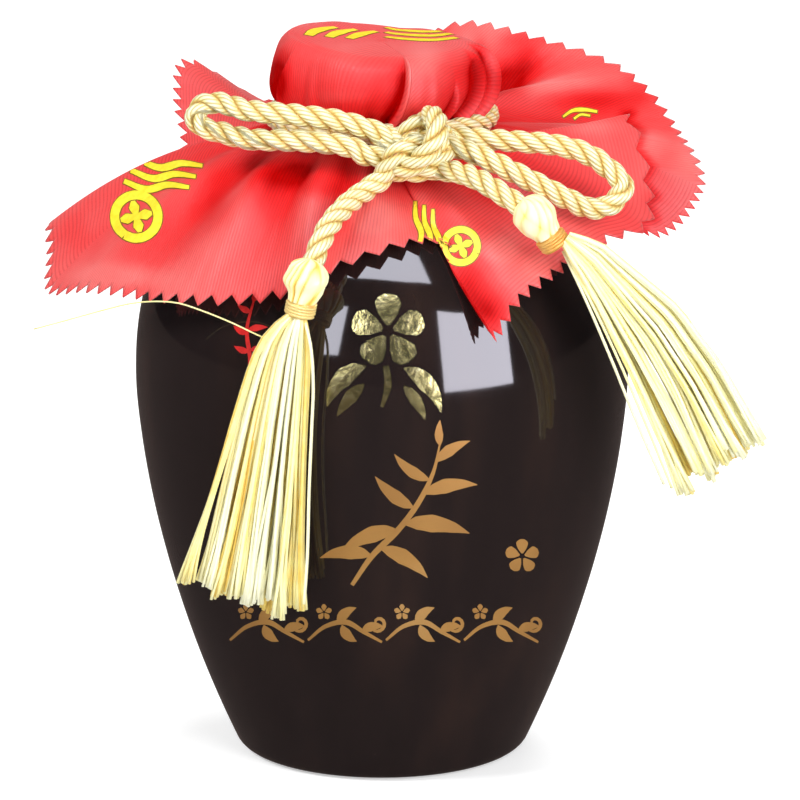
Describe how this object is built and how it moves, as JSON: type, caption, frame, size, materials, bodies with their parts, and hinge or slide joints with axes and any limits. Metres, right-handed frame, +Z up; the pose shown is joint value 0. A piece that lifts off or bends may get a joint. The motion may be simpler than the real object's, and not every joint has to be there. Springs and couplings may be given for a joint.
{
  "type": "ceramic wine jar",
  "caption": "Tall-shouldered glazed wine jar with a stopper, a gathered square cloth cover, and a corded bow whose ends carry swinging tassels.",
  "frame": {"origin": "centre of the jar's flat foot", "axes": "+Z up along the jar's axis; -Y towards the front, where the bow and both tassels hang; +X to the viewer's right"},
  "size_m": [0.1723, 0.1322, 0.1819],
  "materials": {
    "dark_glaze": null,
    "turned_wood": "plain turned wood, matte",
    "silicone": "translucent white silicone, matte",
    "red_satin": "red twill-backed satin with a soft sheen and a pinked edge",
    "pale_gold_cord": "pale gold three-strand twisted rayon cord with a sheen",
    "pale_gold_yarn": "pale gold rayon threads with a sheen",
    "gold_wire": "wound orange-gold metallic wire"
  },
  "bodies": {
    "jar": {"jar_body": "dark_glaze"},
    "stopper": {"stopper_plug": "turned_wood", "stopper_sleeve": "silicone"},
    "cover": {"cover_cloth": "red_satin", "neck_cord": "pale_gold_cord", "bow_knot": "pale_gold_cord", "bow_loop_left": "pale_gold_cord", "bow_loop_right": "pale_gold_cord", "cord_tail_left": "pale_gold_cord", "cord_tail_right": "pale_gold_cord"},
    "tassel_left": {"tassel_left_head": "pale_gold_yarn", "tassel_left_band": "gold_wire", "tassel_left_skirt": "pale_gold_yarn"},
    "tassel_right": {"tassel_right_head": "pale_gold_yarn", "tassel_right_band": "gold_wire", "tassel_right_skirt": "pale_gold_yarn"}
  },
  "joints": [
    {"name": "stopper_lift", "type": "slide", "parent": "jar", "child": "stopper", "axis": [0, 0, 1], "range_m": [0, 0.04]},
    {"name": "cover_lift", "type": "slide", "parent": "stopper", "child": "cover", "axis": [0, 0, 1], "range_m": [0, 0.13]},
    {"name": "tassel_left_swing", "type": "hinge", "parent": "cover", "child": "tassel_left", "pos_m": [-0.01778, -0.06366, 0.1335], "axis": [-0.9632, 0.2689, 0], "range_deg": [0, 60]},
    {"name": "tassel_right_swing", "type": "hinge", "parent": "cover", "child": "tassel_right", "pos_m": [0.0366, -0.05724, 0.1474], "axis": [-0.64, -0.7684, 0], "range_deg": [0, 60]}
  ]
}
